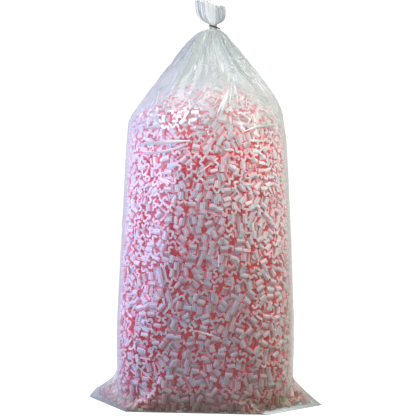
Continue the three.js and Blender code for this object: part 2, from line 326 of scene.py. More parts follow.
# %% Numbers of the pack
SEED = 7
ROUND_END_OUT, CUT_END_OUT, BROAD_OUT = 0, 1, 2  # the peanut's own axis that faces the film
BROAD_SHARE_HEIGHTS = [0.1, 0.9]
BROAD_SHARES = [0.6, 0.42]  # more lie flat lower down, where the heap's weight presses them to the film
ROUND_SHARE = 0.27  # of those that don't lie flat
PEANUT_SIZE = np.array([4 * PEANUT_BEND + PEANUT_WALL, PEANUT_CUT, 2 * PEANUT_BEND + PEANUT_WALL])
LAYER_DEPTHS = [12 * MM, 35 * MM, 56 * MM]
LAYER_FILL = [1.06, 0.95, 0.65]
LAYER_SHIFT = 0.37  # each layer starts elsewhere, so that no two layers match
LAYER_TURN = 2.1
RIM_SHARE = 0.97
MEAN_FACE = 900 * MM * MM  # area of film that one peanut takes up
TILT = math.radians(5)
JITTER = 3 * MM
ABOVE_SHOULDER = 20 * MM  # how far above the shoulder the wall's layers go
rng = np.random.default_rng(SEED)
print("a peanut measures", np.round(PEANUT_SIZE / MM, 1), "mm")


# %% Where the peanuts start
def spread(total, plastic=1.32471795724474):
    """Evenly spread pairs of numbers from 0 to 1, in the order of a low-discrepancy sequence."""
    steps = np.arange(1, total + 1)
    return (0.5 + steps / plastic) % 1, (0.5 + steps / plastic ** 2) % 1


def wall_places(layer):
    """Points on the side wall, spread by area, drawn in to a layer's depth."""
    patch = np.hypot(WALL, WALL_BY_ANGLE) * (HEIGHT < SHOULDER_Z + ABOVE_SHOULDER)
    area = patch.sum() * (grid_angle[1] - grid_angle[0]) * (grid_z[1] - grid_z[0])
    total = int(area * LAYER_FILL[layer] / MEAN_FACE)
    by_angle = np.cumsum(patch.sum(0))
    u, v = spread(total)
    angle = np.interp((u + LAYER_SHIFT * layer) % 1, by_angle / by_angle[-1], grid_angle)
    z = v * (SHOULDER_Z + ABOVE_SHOULDER)
    reach = read_grid(WALL, angle, z) - LAYER_DEPTHS[layer]
    return np.stack([BODY_AXIS_X + reach * np.cos(angle), reach * np.sin(angle), z], 1)


def disc_places(layer, height_at, side):
    """Points on the crown or the base, in a sunflower spiral, drawn in to a layer's depth."""
    rim = half_width(SHOULDER_Z if side > 0 else 0.0)
    squash = half_depth(SHOULDER_Z) / half_width(SHOULDER_Z)
    total = int(math.pi * rim ** 2 * squash * LAYER_FILL[layer] / MEAN_FACE)
    steps = np.arange(total) + 0.5
    share = np.sqrt(steps / total) * RIM_SHARE
    angle = steps * math.pi * (3 - math.sqrt(5)) + LAYER_TURN * layer
    x, y = share * rim * np.cos(angle), share * rim * squash * np.sin(angle)
    return np.stack([BODY_AXIS_X + x, y, height_at(share) - side * LAYER_DEPTHS[layer]], 1)


places = [wall_places(layer) for layer in range(3)]
places += [disc_places(layer, lambda s: heap_height(s) + LOOSE_TOP, 1) for layer in range(3)]
places += [disc_places(0, lambda s: 0 * s + FILM_CLEARANCE, -1)]
centres = np.concatenate(places)
centres += rng.normal(0, JITTER, centres.shape)
print("peanuts at the start:", [len(p) for p in places], "in all", len(centres))


# %% How they lie at the start
def frames_facing(normals, which_axis, turn):
    """Rotation matrices whose local axis which_axis faces along the normal, turned about it."""
    helper = np.where(np.abs(normals[:, 2:3]) < 0.9, [[0, 0, 1.0]], [[1.0, 0, 0]])
    first = np.cross(helper, normals)
    first /= np.linalg.norm(first, axis=1, keepdims=True)
    second = np.cross(normals, first)
    c, s = np.cos(turn)[:, None], np.sin(turn)[:, None]
    a, b = c * first + s * second, c * second - s * first
    matrices = np.empty((len(normals), 3, 3))
    for axis in range(3):
        chosen = which_axis == axis
        matrices[chosen, :, axis] = normals[chosen]
        matrices[chosen, :, (axis + 1) % 3] = a[chosen]
        matrices[chosen, :, (axis + 2) % 3] = b[chosen]
    return matrices


depth, normal = depths(centres)
outward = normal[np.arange(len(centres)), depth.argmin(axis=1)]
outward = outward + rng.normal(0, TILT, outward.shape)
outward /= np.linalg.norm(outward, axis=1, keepdims=True)
broad = rng.uniform(size=len(centres)) < np.interp(centres[:, 2], BROAD_SHARE_HEIGHTS, BROAD_SHARES)
on_round = rng.uniform(size=len(centres)) < ROUND_SHARE
facing = np.where(broad, BROAD_OUT, np.where(on_round, ROUND_END_OUT, CUT_END_OUT))
turns = frames_facing(outward, facing, rng.uniform(0, 2 * math.pi, len(centres)))
for lying, way in (("flat on the film", BROAD_OUT), ("on a cut end", CUT_END_OUT)):
    print(lying + ":", round(float((facing == way).mean()), 2))

# %% [markdown]
# The model's own loose peanuts on the crown stay where they are, so the pack treats them as fixed. Their places
# follow the model's sunflower spiral, with every third one lying the same way.

# %% The model's loose peanuts, which push the others away
LOOSE_PEANUTS = 32
LOOSE_SPACING = 31 * MM
REST_GAP = 0.5 * MM
YAW_STEP = 0.7
FILL_ACROSS, FILL_ALONG, FILL_INSET = 0.300, 0.277, 1.6 * MM  # the model's fill at the shoulder


def turn_about(axis, angle):
    """Rotation matrix about X (0), Y (1) or Z (2)."""
    i, j = (axis + 1) % 3, (axis + 2) % 3
    matrix = np.eye(3)
    matrix[i, i] = matrix[j, j] = math.cos(angle)
    matrix[j, i] = math.sin(angle)
    matrix[i, j] = -math.sin(angle)
    return matrix


def loose_peanut(i):
    bearing = i * math.pi * (3 - math.sqrt(5))
    radius = LOOSE_SPACING * math.sqrt(i + 0.5)
    rim = 1 / math.hypot(math.cos(bearing) / FILL_ACROSS, math.sin(bearing) / FILL_ALONG) - FILL_INSET
    share = radius / rim
    lying = [np.eye(3), turn_about(0, math.pi / 2), turn_about(1, math.pi / 2)][i % 3]
    height = [PEANUT_SIZE[2], PEANUT_SIZE[1], PEANUT_SIZE[0]][i % 3]
    slope = turn_about(2, bearing) @ turn_about(1, math.atan(2 * HEAP_RISE * share / rim))
    foot = np.array([BODY_AXIS_X + radius * math.cos(bearing), radius * math.sin(bearing), heap_height(share)])
    centre = foot + slope @ np.array([0, 0, height / 2 + REST_GAP])
    return centre, slope @ turn_about(2, YAW_STEP * i * i) @ lying


loose = [loose_peanut(i) for i in range(LOOSE_PEANUTS)]
miss = 0.0
for i, (centre, _) in enumerate(loose):
    low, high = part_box(f"peanut_{i + 1:02d}")
    miss = max(miss, float(np.abs(centre - np.array((low + high) / 2)).max()))
print("loose peanuts found, off by at most", round(miss / MM, 2), "mm")

# %% [markdown]
# Twelve balls fill each peanut's block. In every step each ball is pushed half of the way out of each ball that
# it overlaps, then back inside the film, and the peanut takes the place and turn that fit its balls best. That
# best fit is a singular value decomposition, which numpy does for all peanuts at once. A light pressing towards
# the film fades out, so that the outer faces end up flat against it.

# %% Balls, and which of them are near each other
BALL = 5.9 * MM
BALLS = np.array([(x, y, z) for x in (-1, 0, 1) for y in (-1, 1) for z in (-1, 1)]) * (PEANUT_SIZE / 2 - BALL)
STEPS = 110
LOOK_AGAIN = 6  # steps between two searches for near balls
NEAR = 2 * BALL + 4 * MM
PRESS = 0.12 * MM  # how far each step presses a peanut towards the film
PULL = 1.3  # a little more than the overlap, so the pack settles sooner
print("balls in a peanut:", len(BALLS))


def near_pairs(points, owner, distance):
    """Every two balls of different peanuts that are nearer than the distance, found by sorting into cells."""
    cell = np.floor((points - points.min(0)) / distance).astype(np.int64) + 1
    wide, tall = cell[:, 1].max() + 3, cell[:, 2].max() + 3
    key = (cell[:, 0] * wide + cell[:, 1]) * tall + cell[:, 2]
    order = np.argsort(key, kind="stable")
    ranked = key[order]
    steps = [(a, b, c) for a in (0, 1) for b in (-1, 0, 1) for c in (-1, 0, 1) if (a, b, c) > (0, 0, 0)]
    first, second = [], []
    for step in [(0, 0, 0), *steps]:
        wanted = key + (step[0] * wide + step[1]) * tall + step[2]
        start = np.searchsorted(ranked, wanted, "left")
        found = np.searchsorted(ranked, wanted, "right") - start
        i = np.repeat(np.arange(len(points)), found)
        j = order[np.arange(found.sum()) - np.repeat(np.cumsum(found) - found, found) + np.repeat(start, found)]
        keep = owner[i] != owner[j]
        if step == (0, 0, 0):
            keep &= i < j
        i, j = i[keep], j[keep]
        near = ((points[i] - points[j]) ** 2).sum(1) < distance ** 2
        first.append(i[near])
        second.append(j[near])
    return np.concatenate(first), np.concatenate(second)


# %% The packing itself
def add_up(index, values, size):
    return np.stack([np.bincount(index, values[:, k], size) for k in range(3)], 1)


def pack(centres, turns, fixed_balls):
    """Moves and turns the peanuts, step by step, so that their balls overlap less and lie inside the shell."""
    total, each = len(centres), len(BALLS)
    owner = np.concatenate([np.repeat(np.arange(total), each), np.full(len(fixed_balls), total)])
    size = len(owner)
    moving = total * each
    for step in range(STEPS):
        balls = centres[:, None] + np.einsum("nij,kj->nki", turns, BALLS)
        depth, normal = depths(centres)
        nearest = depth.argmin(axis=1)
        outward = normal[np.arange(total), nearest]
        pressing = PRESS * (1 - step / STEPS)
        balls = balls + pressing * outward[:, None]
        points = np.concatenate([balls.reshape(-1, 3), fixed_balls])
        if step % LOOK_AGAIN == 0:
            i, j = near_pairs(points, owner, NEAR)
        gap = points[i] - points[j]
        apart = np.linalg.norm(gap, axis=1) + 1e-9
        overlap = 2 * BALL - apart
        hit = overlap > 0
        push = (gap[hit] / apart[hit, None]) * (0.5 * overlap[hit, None])
        shift = add_up(i[hit], push, size) - add_up(j[hit], push, size)
        touches = np.bincount(i[hit], minlength=size) + np.bincount(j[hit], minlength=size)
        shift = (PULL * shift / np.maximum(touches, 1)[:, None])[:moving]
        free = points[:moving] + shift
        depth, normal = depths(free)
        for face in range(depth.shape[1]):
            lack = np.maximum(BALL - depth[:, face], 0)
            free -= lack[:, None] * normal[:, face]
        # What sinks below the shell is eased back out, so the layers stay near the film.
        deepest = depth.min(axis=1) - (SHELL_DEPTH + BALL)
        closest = normal[np.arange(moving), depth.argmin(axis=1)]
        free += np.maximum(deepest, 0)[:, None] * closest * 0.5
        free = free.reshape(total, each, 3)
        centres = free.mean(axis=1)
        spin = np.einsum("nki,kj->nij", free - centres[:, None], BALLS)
        u, _, vt = np.linalg.svd(spin)
        u[:, :, 2] *= np.sign(np.linalg.det(u @ vt))[:, None]
        turns = u @ vt
    print("overlap left: mean", round(float(overlap[hit].mean()) / MM, 2), "mm in", int(hit.sum()), "touches")
    return centres, turns


fixed = np.concatenate([centre + BALLS @ turn.T for centre, turn in loose])
centres, turns = pack(centres, turns, fixed)
print("packed", len(centres), "peanuts")

# %% [markdown]
# ## Placing the peanuts with Geometry Nodes
# The pack gives a place and a turn for each peanut. Geometry Nodes put the peanut mesh on those points: one
# instance a point, turned by an attribute, then made real so that it exports. The heap is cut into bands by
# height, because one piece stays under 200,000 triangles. The meshes come after the foam's material.

# %% The tree that places them
def placing_tree(shape, material):
    tree = bpy.data.node_groups.new("peanuts_on_points", "GeometryNodeTree")
    face = tree.interface
    face.new_socket("Points", in_out="INPUT", socket_type="NodeSocketGeometry")
    face.new_socket("Size", in_out="INPUT", socket_type="NodeSocketFloat").default_value = 1.0
    face.new_socket("Peanuts", in_out="OUTPUT", socket_type="NodeSocketGeometry")
    given = add_node(tree, "NodeGroupInput")
    peanut = add_node(tree, "GeometryNodeObjectInfo", {"Object": shape})
    turn = add_node(tree, "GeometryNodeInputNamedAttribute", {"Name": "turn"}, data_type="QUATERNION")
    placed = add_node(tree, "GeometryNodeInstanceOnPoints", {
        "Points": given.outputs["Points"], "Instance": peanut.outputs["Geometry"],
        "Rotation": turn.outputs["Attribute"], "Scale": given.outputs["Size"],
    })
    real = add_node(tree, "GeometryNodeRealizeInstances", {"Geometry": placed.outputs["Instances"]})
    coated = add_node(tree, "GeometryNodeSetMaterial", {"Geometry": real.outputs[0], "Material": material})
    add_node(tree, "NodeGroupOutput", {"Peanuts": coated.outputs[0]})
    return tree


# %% Turns as quaternions
def quaternions(matrices):
    """Unit quaternions, w x y z, of rotation matrices."""
    m = matrices
    w = np.sqrt(np.maximum(1 + m[:, 0, 0] + m[:, 1, 1] + m[:, 2, 2], 0)) / 2
    x = np.sqrt(np.maximum(1 + m[:, 0, 0] - m[:, 1, 1] - m[:, 2, 2], 0)) / 2
    y = np.sqrt(np.maximum(1 - m[:, 0, 0] + m[:, 1, 1] - m[:, 2, 2], 0)) / 2
    z = np.sqrt(np.maximum(1 - m[:, 0, 0] - m[:, 1, 1] + m[:, 2, 2], 0)) / 2
    x = np.copysign(x, m[:, 2, 1] - m[:, 1, 2])
    y = np.copysign(y, m[:, 0, 2] - m[:, 2, 0])
    z = np.copysign(z, m[:, 1, 0] - m[:, 0, 1])
    return np.stack([w, x, y, z], 1)


print("first turn:", np.round(quaternions(turns[:1])[0], 2))

# %% [markdown]
# ## The film's shape
# Low-density polyethylene film doesn't stretch when a bag is gathered: its girth stays the same, so the spare
# width goes into folds. Wide folds start at the shoulder, and narrower ones start between them nearer the neck.
# Each fold has a sharp ridge and a round valley. Single creases run across them where the film was crumpled.
# The mesh's columns run along the ridges, so the ridges stay crisp.

# %% The film's columns and rows
COLUMNS = 300
CORNER_CROWDING = 0.3
FOLDS = [  # valleys round the neck, height where they start, how far that varies, depth at the neck and the mouth
    (12, 1050 * MM, 50 * MM, 0.20, 0.16),
    (30, 1190 * MM, 70 * MM, 0.17, 0.14),
    (60, 1330 * MM, 50 * MM, 0.10, 0.10),
]
ROW_STEPS = [  # height that a stretch of rows ends at, and the rows in it
    (4 * MM, 3), (36 * MM, 6), (150 * MM, 8), (1000 * MM, 38), (1432 * MM, 70), (1462 * MM, 12), (MOUTH_Z, 18),
]
rows = [0.0]
for end, steps in ROW_STEPS:
    rows += np.linspace(rows[-1], end, steps + 1)[1:].tolist()
rows = np.array(rows)
print("film grid:", COLUMNS, "columns by", len(rows), "rows")


# %% Folds gathered to the neck
def fold_depth(columns, z):
    """How deep the folds are, as a share of the radius, for each column and height."""
    total = np.zeros(np.broadcast(columns, z).shape)
    for valleys, start, vary, at_neck, at_mouth in FOLDS:
        width = COLUMNS / valleys
        which = (columns // width).astype(int) % valleys
        weight = rng.uniform(0.45, 1.0, valleys)[which]
        begins = (start + rng.uniform(-vary, vary, valleys))[which]
        frill = rng.uniform(0.4, 1.2, valleys)[which]
        valley = np.sin(math.pi * (columns % width) / width) ** 0.8
        below = at_neck * weight * smoothstep(z, begins, NECK_Z) ** 0.8
        above = (at_mouth * frill - at_neck * weight) * smoothstep(z, NECK_Z, MOUTH_Z)
        total += valley * (below + above)
    return total


ring, z = np.meshgrid(np.arange(COLUMNS), rows)
even = 2 * math.pi * ring / COLUMNS
angle = even - CORNER_CROWDING / 2 * np.sin(2 * even)
gather = smoothstep(z, SHOULDER_Z - 0.05, NECK_Z)
angle += np.maximum(np.cos(even), 0) ** 2 * RIGHT_BEARING
angle += np.maximum(-np.cos(even), 0) ** 2 * (LEFT_BEARING - math.pi)
# The neck isn't gathered evenly.
angle += gather * (0.05 * np.sin(3 * even + 1.0) + 0.03 * np.sin(7 * even + 2.0))
neck_swell = 1 + NECK_PLEAT * smoothstep(z, 1.40, NECK_Z)
reach = bag_reach(angle, z) * neck_swell * (1 - fold_depth(ring, z))
print("neck reach in mm:", np.round(reach[z > NECK_Z].min() / MM, 1))

# %% [markdown]
# Film that has been crumpled keeps straight creases. Each is a low ridge or valley, sharp along its line and
# fading towards its ends. In the tent they mostly run up to the neck, on the body they are faint and lie any
# way, and from each bottom corner they fan out up the body, where the corner pulls on the film.

# %% Creases
def crease(angle, z, middle, length, width, height, lean):
    """A ridge (or a valley, where height is negative) with a sharp line along it."""
    turn = (angle - middle[0] + math.pi) % (2 * math.pi) - math.pi
    across, up = turn * np.interp(middle[1], BAG_PROFILE[:, 2], BAG_PROFILE[:, 0]), z - middle[1]
    along = across * math.sin(lean) + up * math.cos(lean)
    aside = across * math.cos(lean) - up * math.sin(lean)
    return height * np.exp(-np.abs(aside) / width) * np.exp(-(along / length) ** 2)


CREASES = [  # how many, lowest and highest middle in metres, length, width and height in mm, spread of the lean
    (90, 1.06, 1.36, 70, 7, 6, 0.6),  # in the tent
    (70, 0.1, 1.06, 80, 9, 1.6, 0.9),  # on the body
]
CORNER_CREASES = 16
CORNER_CREASE = (60 * MM, 8 * MM, 3 * MM)  # length, width and height of a crease at a corner
bumps = np.zeros_like(reach)
for total, low, high, length, width, rise, lean_spread in CREASES:
    for _ in range(total):
        middle = (rng.uniform(-math.pi, math.pi), rng.uniform(low, high))
        size = rng.uniform(0.4, 1.0)
        rise_now, lean = rng.choice([-1, 1]) * rise * MM * size, rng.normal(0, lean_spread)
        bumps += crease(angle, z, middle, length * MM * size, width * MM, rise_now, lean)
for side in (0, math.pi):  # pulled from each bottom corner up across the body
    for _ in range(CORNER_CREASES):
        middle = (side + rng.normal(0, 0.35), rng.uniform(0.05, 0.24))
        lean = -math.copysign(1, math.sin(middle[0] - side)) * rng.uniform(0.5, 1.1)
        rise_now = rng.choice([-1, 1]) * CORNER_CREASE[2]
        bumps += crease(angle, z, middle, *CORNER_CREASE[:2], rise_now, lean)
# The base and the neck stay as the model has them.
bumps *= smoothstep(z, 0.004, 0.05) * (1 - smoothstep(z, 1.38, 1.43))
reach += bumps
print("creases raise the film by up to", round(float(bumps.max()) / MM, 1), "mm")

# %% [markdown]
# The mouth was torn off a roll, so the frill's edge is uneven and dips on one side. The base is closed by rings
# that shrink to a point. After that the sheet gets its thickness inwards, with its outer face left in place, so
# that the bag is a closed wall with a hollow inside.

# %% The frill's torn edge, and the film's points
BASE_RINGS = 4
EDGE_DROP = 5 * MM  # how far the frill's edge lies below the model's on average
RIGHT_DIP = 22 * MM  # how much lower it is on the right
edge_drop = EDGE_DROP + RIGHT_DIP * smoothstep(np.cos(even), 0.0, 0.5)
edge_drop += 1.5 * MM * np.sin(5 * even + 1) + 1.2 * MM * np.sin(13 * even)
edge_drop += 2 * MM * np.sign(np.sin(9 * even + 0.5))
frill_share = smoothstep(z, NECK_Z, MOUTH_Z)
height = z - frill_share * np.maximum(edge_drop, 0)
x = axis_x(z) + reach * np.cos(angle)
y = reach * np.sin(angle)
skin = np.stack([x, y, height], -1)
base = [np.stack([
    BODY_AXIS_X + share * (x[0] - BODY_AXIS_X), share * y[0], np.zeros(COLUMNS)], -1)
    for share in np.arange(1, BASE_RINGS) / BASE_RINGS]
points = np.concatenate([[[BODY_AXIS_X, 0, 0]], *base, skin.reshape(-1, 3)])
print("film points:", len(points))

# %% The film's mesh
rings = BASE_RINGS - 1 + len(rows)
faces = [(0, 1 + (i + 1) % COLUMNS, 1 + i) for i in range(COLUMNS)]
for k in range(rings - 1):
    low, high = 1 + k * COLUMNS, 1 + (k + 1) * COLUMNS
    faces += [(low + i, low + (i + 1) % COLUMNS, high + (i + 1) % COLUMNS, high + i) for i in range(COLUMNS)]
film = mesh_object("bag_film_creased", points, faces)
print("film mesh:", len(film.data.polygons), "faces")

# %% [markdown]
# The film is tight where peanuts press it, and slack in the tent and in the two empty corners, where it wrinkles
# too finely to model. The mesh carries that as a number from 0 to 1, and the film's material turns it to haze.

# %% Slack and thickness
TENT_SLACK = (0.93, 1.2)  # heights between which the film goes slack
NECK_TIGHT = (NECK_Z - 0.03, NECK_Z + 0.02)  # heights between which the tie draws it nearly tight again
CORNER_SLACK = (0.36, 0.44)  # reaches between which the empty corners go slack
CORNER_TOP = (0.12, 0.2)  # heights between which the corners end
tent_slack = smoothstep(z, *TENT_SLACK) * (1 - 0.95 * smoothstep(z, *NECK_TIGHT))
corner_slack = smoothstep(reach, *CORNER_SLACK) * (1 - smoothstep(z, *CORNER_TOP))
slackness = np.maximum(tent_slack, corner_slack)
slack = np.concatenate([np.zeros(len(points) - skin.shape[0] * COLUMNS), slackness.ravel()])
film.data.attributes.new("slack", "FLOAT", "POINT").data.foreach_set("value", slack)
FILM_THICKNESS = 0.1 * MM
wall = film.modifiers.new("thickness", "SOLIDIFY")
wall.thickness = FILM_THICKNESS
wall.offset = -1
with bpy.context.temp_override(object=film, active_object=film):
    bpy.ops.object.modifier_apply(modifier=wall.name)
print("film with its thickness:", len(film.data.polygons), "faces")

# %% [markdown]
# ## Pinched folds
# Where film is crushed it pinches into narrow folds that stay. Two layers lie together there, so a fold is
# whiter than the film round it, and its flanks catch the light as a thin bright line. Each one here is a slim
# ridge on the film's surface that tapers to a point at both ends. The main ones on the front are listed one by
# one. The others are spread at random, and most of them lie on the shoulder and the tent.

# %% A ridge that follows the film
FOLD_STATIONS = 15
FOLD_SINK = 0.3 * MM  # how far a ridge's foot goes below the film's face
FOLD_TIP = 0.02  # a fold's tips are nearly, and not quite, of no width
PINCHED, BULGE = 0.8, 0.5  # height of a ridge as a share of half its width


def film_reach(angle_at, z_at):
    """Reach of the finished film at any direction and height, straight between the mesh's own points."""
    row = int(np.clip(np.searchsorted(rows, z_at) - 1, 0, len(rows) - 2))
    share = (z_at - rows[row]) / (rows[row + 1] - rows[row])
    ends = [np.interp(angle_at, angle[k], reach[k], period=2 * math.pi) for k in (row, row + 1)]
    return ends[0] + (ends[1] - ends[0]) * share


def film_place(angle_at, z_at):
    r = film_reach(angle_at, z_at)
    return np.array([float(axis_x(z_at)) + r * math.cos(angle_at), r * math.sin(angle_at), z_at])


def front_angle(x_at, z_at):
    """Direction from the axis of the front film's point with this X and height."""
    turn = -math.pi / 2
    for _ in range(6):
        turn = -math.acos(np.clip((x_at - float(axis_x(z_at))) / film_reach(turn, z_at), -1, 1))
    return turn


def ridge(path, width, steepness):
    """Points and faces of one ridge along a path of directions and heights, with its foot in the film."""
    share = np.linspace(0, 1, len(path))
    smooth = [np.polyfit(share, column, len(path) - 1) for column in np.array(path).T]
    stations = np.stack([np.polyval(curve, np.linspace(0, 1, FOLD_STATIONS)) for curve in smooth], 1)
    line = np.array([film_place(a, z) for a, z in stations])
    outward = np.stack([np.cos(stations[:, 0]), np.sin(stations[:, 0]), 0 * stations[:, 0]], 1)
    aside = np.cross(np.gradient(line, axis=0), outward)
    aside /= np.linalg.norm(aside, axis=1, keepdims=True)
    taper = np.sin(np.linspace(FOLD_TIP, math.pi - FOLD_TIP, FOLD_STATIONS))[:, None] ** 0.8
    half = width / 2 * taper
    feet = [line + side * half * aside - FOLD_SINK * outward for side in (-1, 1)]
    crest = line + half * steepness * outward
    points = np.stack([feet[0], crest, feet[1]], 1).reshape(-1, 3)
    faces = [(3 * k + i, 3 * k + (i + 1) % 3, 3 * k + 3 + (i + 1) % 3, 3 * k + 3 + i)
             for k in range(FOLD_STATIONS - 1) for i in range(3)]
    last = 3 * FOLD_STATIONS - 3
    return points, [*faces, (2, 1, 0), (last, last + 1, last + 2)]


print("the film's front at the shoulder lies at Y", round(float(film_place(-math.pi / 2, SHOULDER_Z)[1]), 3))

# %% Where the folds are
FRONT_FOLDS = [  # points along a fold (X and height) and its width, in millimetres, and its steepness
    ([(108, 1252), (124, 1140), (146, 1024)], 6, PINCHED),
    ([(104, 1219), (100, 1160), (97, 1109)], 5, PINCHED),
    ([(97, 1227), (75, 1150), (48, 1087)], 6, PINCHED),
    ([(94, 1190), (80, 1140), (66, 1098)], 22, BULGE),
    ([(-48, 1117), (-12, 1159), (37, 1197)], 6, PINCHED),
    ([(-205, 1104), (-170, 1142), (-140, 1176)], 6, PINCHED),
    ([(173, 1188), (215, 1168), (253, 1142)], 6, PINCHED),
    ([(148, 1029), (205, 1050), (279, 1058)], 9, PINCHED),
    ([(-226, 1046), (-185, 1048), (-142, 1052)], 11, PINCHED),
    ([(-252, 984), (-150, 991), (-46, 997)], 14, PINCHED),
    ([(-238, 951), (-150, 957), (-60, 984)], 10, PINCHED),
    ([(-54, 1155), (-52, 1113)], 4, PINCHED),
    ([(-37, 1235), (-55, 1217), (-71, 1201)], 4, PINCHED),
    ([(72, 1248), (62, 1236), (51, 1222)], 4, PINCHED),
    ([(114, 1336), (137, 1312), (157, 1290)], 7, PINCHED),
    ([(38, 1285), (41, 1260)], 8, PINCHED),
    ([(-32, 1290), (-34, 1264)], 11, PINCHED),
    ([(-140, 1209), (-118, 1237), (-98, 1262)], 3, PINCHED),
    ([(60, 975), (85, 962), (112, 978)], 4, PINCHED),
    ([(205, 1110), (240, 1092), (270, 1072)], 4, PINCHED),
    ([(-260, 180), (-220, 150), (-181, 115)], 4, PINCHED),
    ([(-120, 1168), (-98, 1172), (-80, 1176)], 4, PINCHED),
]
FOLD_HALF_LENGTHS = (12, 45)  # millimetres
FOLD_WIDTHS = (2.0, 4.5)
FOLD_BOW = 0.12
RANDOM_FOLDS = [(80, 1.08, 1.39, 0.5), (26, 0.1, 1.08, 1.4)]  # how many, between which heights, spread of lean


def random_fold(low, high, lean_spread):
    """A fold of random place, length and lean. A lean of 0 runs straight up."""
    turn, z_mid = rng.uniform(-math.pi, math.pi), rng.uniform(low, high)
    lean, half_length = rng.normal(0, lean_spread), rng.uniform(*FOLD_HALF_LENGTHS) * MM
    bow = rng.normal(0, FOLD_BOW)
    reach_mid = film_reach(turn, z_mid)
    path = []
    for share in (-1, 0, 1):
        across = share * half_length * math.sin(lean) + bow * half_length * (1 - share ** 2) * math.cos(lean)
        path.append((turn + across / reach_mid, z_mid + share * half_length * math.cos(lean)))
    return path, rng.uniform(*FOLD_WIDTHS) * MM


print("folds placed by hand:", len(FRONT_FOLDS))

# %% The folds' mesh
fold_shapes = []
for line, width, steepness in FRONT_FOLDS:
    path = [(front_angle(x_at * MM, z_at * MM), z_at * MM) for x_at, z_at in line]
    fold_shapes.append(ridge(path, width * MM, steepness))
for number, low, high, lean_spread in RANDOM_FOLDS:
    for _ in range(number):
        path, width = random_fold(low, high, lean_spread)
        fold_shapes.append(ridge(path, width, PINCHED))
each = 3 * FOLD_STATIONS
fold_faces = [tuple(k * each + i for i in face) for k, (_, shape) in enumerate(fold_shapes) for face in shape]
folds = mesh_object("film_folds", np.concatenate([shape for shape, _ in fold_shapes]), fold_faces)
folds.data.shade_flat()
folds.data.attributes.new("fold", "FLOAT", "POINT").data.foreach_set("value", np.ones(each * len(fold_shapes)))
print("pinched folds:", len(fold_shapes), "with", len(fold_faces), "faces")

# %% [markdown]
# ## Materials
# Each material starts from what the real one is and how its surface was made. Every one begins as an empty node
# tree, so that nothing is left over from a default.

# %% An empty material
def new_material(name):
    material = bpy.data.materials.new(name)
    material.use_nodes = True
    material.node_tree.nodes.clear()
    return material, material.node_tree


# %% [markdown]
# ### Expanded polystyrene foam
# The peanuts are polystyrene with a little pink dye, blown up by gas and pushed through a die. Their skin is
# pale and matt. Light goes some way into foam and comes out again, and red light goes furthest. So a face that
# looks out at the room is nearly white, and the gaps between peanuts, where the light has been through foam
# many times, are a clear red. A renderer would need very many bounces for that. Instead that light is painted
# into the colour: each point carries its depth below the film and the way out, what lies deep is painted red,
# and so is a flank that turns away from the film, as soon as it goes below the outermost faces.

# %% Colours and sizes of the foam
FOAM_PALE = "#E9EAED"
# painted bounce light: the red that faces deep between the peanuts are painted
PAINTED_GAP_RED = "#FF4266"
FLANK_RED = 0.85  # painted shade: how far a flank in a crevice is painted towards the painted gap red
FLANK_TURNS = (0.8, 0.2)  # how far a face still looks outwards where it starts to be a flank, and where it is one
FLANK_SINKS = (0.5 * MM, 7 * MM)  # depths between which a flank is painted red
ALL_SINKS = (12 * MM, 28 * MM)  # depths between which every face is painted red
DIE_LINE = 7.8 * MM  # spacing of the grooves that the die leaves across a peanut
# painted shade: the die's grooves are painted a darker pink
GROOVE_SHADE_PINK = "#E6CAD4"
CELLS_PER_METRE = 500.0  # foam cells of 2 mm; the real ones are a quarter of that, too fine to show
FOAM_REACH = (11.0, 3.0, 3.6)  # millimetres that red, green and blue light travel inside the foam
FOOT_SHADE = "#D3B894"  # painted shade and painted warm floor bounce at the foot
FOOT_SHADE_TOP = 115 * MM
# painted glow: a red emission in the gaps, standing in for light that has passed through the foam
GLOW_RED = "#FF2448"
GLOW = 0.034  # strength of a painted red glow, an emission that stands in for light reaching the gaps through the foam
print("foam: red light goes", FOAM_REACH[0], "mm deep, green", FOAM_REACH[1], "mm")


# %% How far a point is painted red for lying sunk between the peanuts
def painted_red_share(tree):
    """Share of painted red, which stands in for light bounced between the peanuts: 0 on the outermost faces, 1
    deep inside the fill.
    """
    depth = add_node(tree, "ShaderNodeAttribute", attribute_name="depth")
    outward = add_node(tree, "ShaderNodeAttribute", attribute_name="outward")
    surface = add_node(tree, "ShaderNodeNewGeometry")
    faces_out = add_node(tree, "ShaderNodeVectorMath", {
        0: surface.outputs["Normal"], 1: outward.outputs["Vector"]}, operation="DOT_PRODUCT")
    flank = add_node(tree, "ShaderNodeMapRange", {
        "Value": faces_out.outputs["Value"], "From Min": FLANK_TURNS[0], "From Max": FLANK_TURNS[1]},
        interpolation_type="SMOOTHSTEP")
    inside = add_node(tree, "ShaderNodeMapRange", {
        "Value": depth.outputs["Fac"], "From Min": FLANK_SINKS[0], "From Max": FLANK_SINKS[1],
        "To Max": FLANK_RED})
    crevice = add_node(tree, "ShaderNodeMath", {
        0: flank.outputs["Result"], 1: inside.outputs["Result"]}, operation="MULTIPLY")
    below = add_node(tree, "ShaderNodeMapRange", {
        "Value": depth.outputs["Fac"], "From Min": ALL_SINKS[0], "From Max": ALL_SINKS[1]},
        interpolation_type="SMOOTHSTEP")
    return add_node(tree, "ShaderNodeMath", {
        0: crevice.outputs[0], 1: below.outputs["Result"]}, operation="MAXIMUM").outputs[0]


# %% The grooves that the die leaves
def groove_share(tree):
    """0 in a groove, 1 between grooves. They run along the cut length and repeat along each peanut's own X."""
    own = add_node(tree, "ShaderNodeAttribute", attribute_name="own_place")
    along = add_node(tree, "ShaderNodeSeparateXYZ", {0: own.outputs["Vector"]})
    turns = add_node(tree, "ShaderNodeMath", {
        0: along.outputs["X"], 1: 2 * math.pi / DIE_LINE}, operation="MULTIPLY")
    wave = add_node(tree, "ShaderNodeMath", {0: turns.outputs[0]}, operation="COSINE")
    return add_node(tree, "ShaderNodeMapRange", {
        "Value": wave.outputs[0], "From Min": -1.0, "From Max": 0.2},
        interpolation_type="SMOOTHSTEP").outputs["Result"]


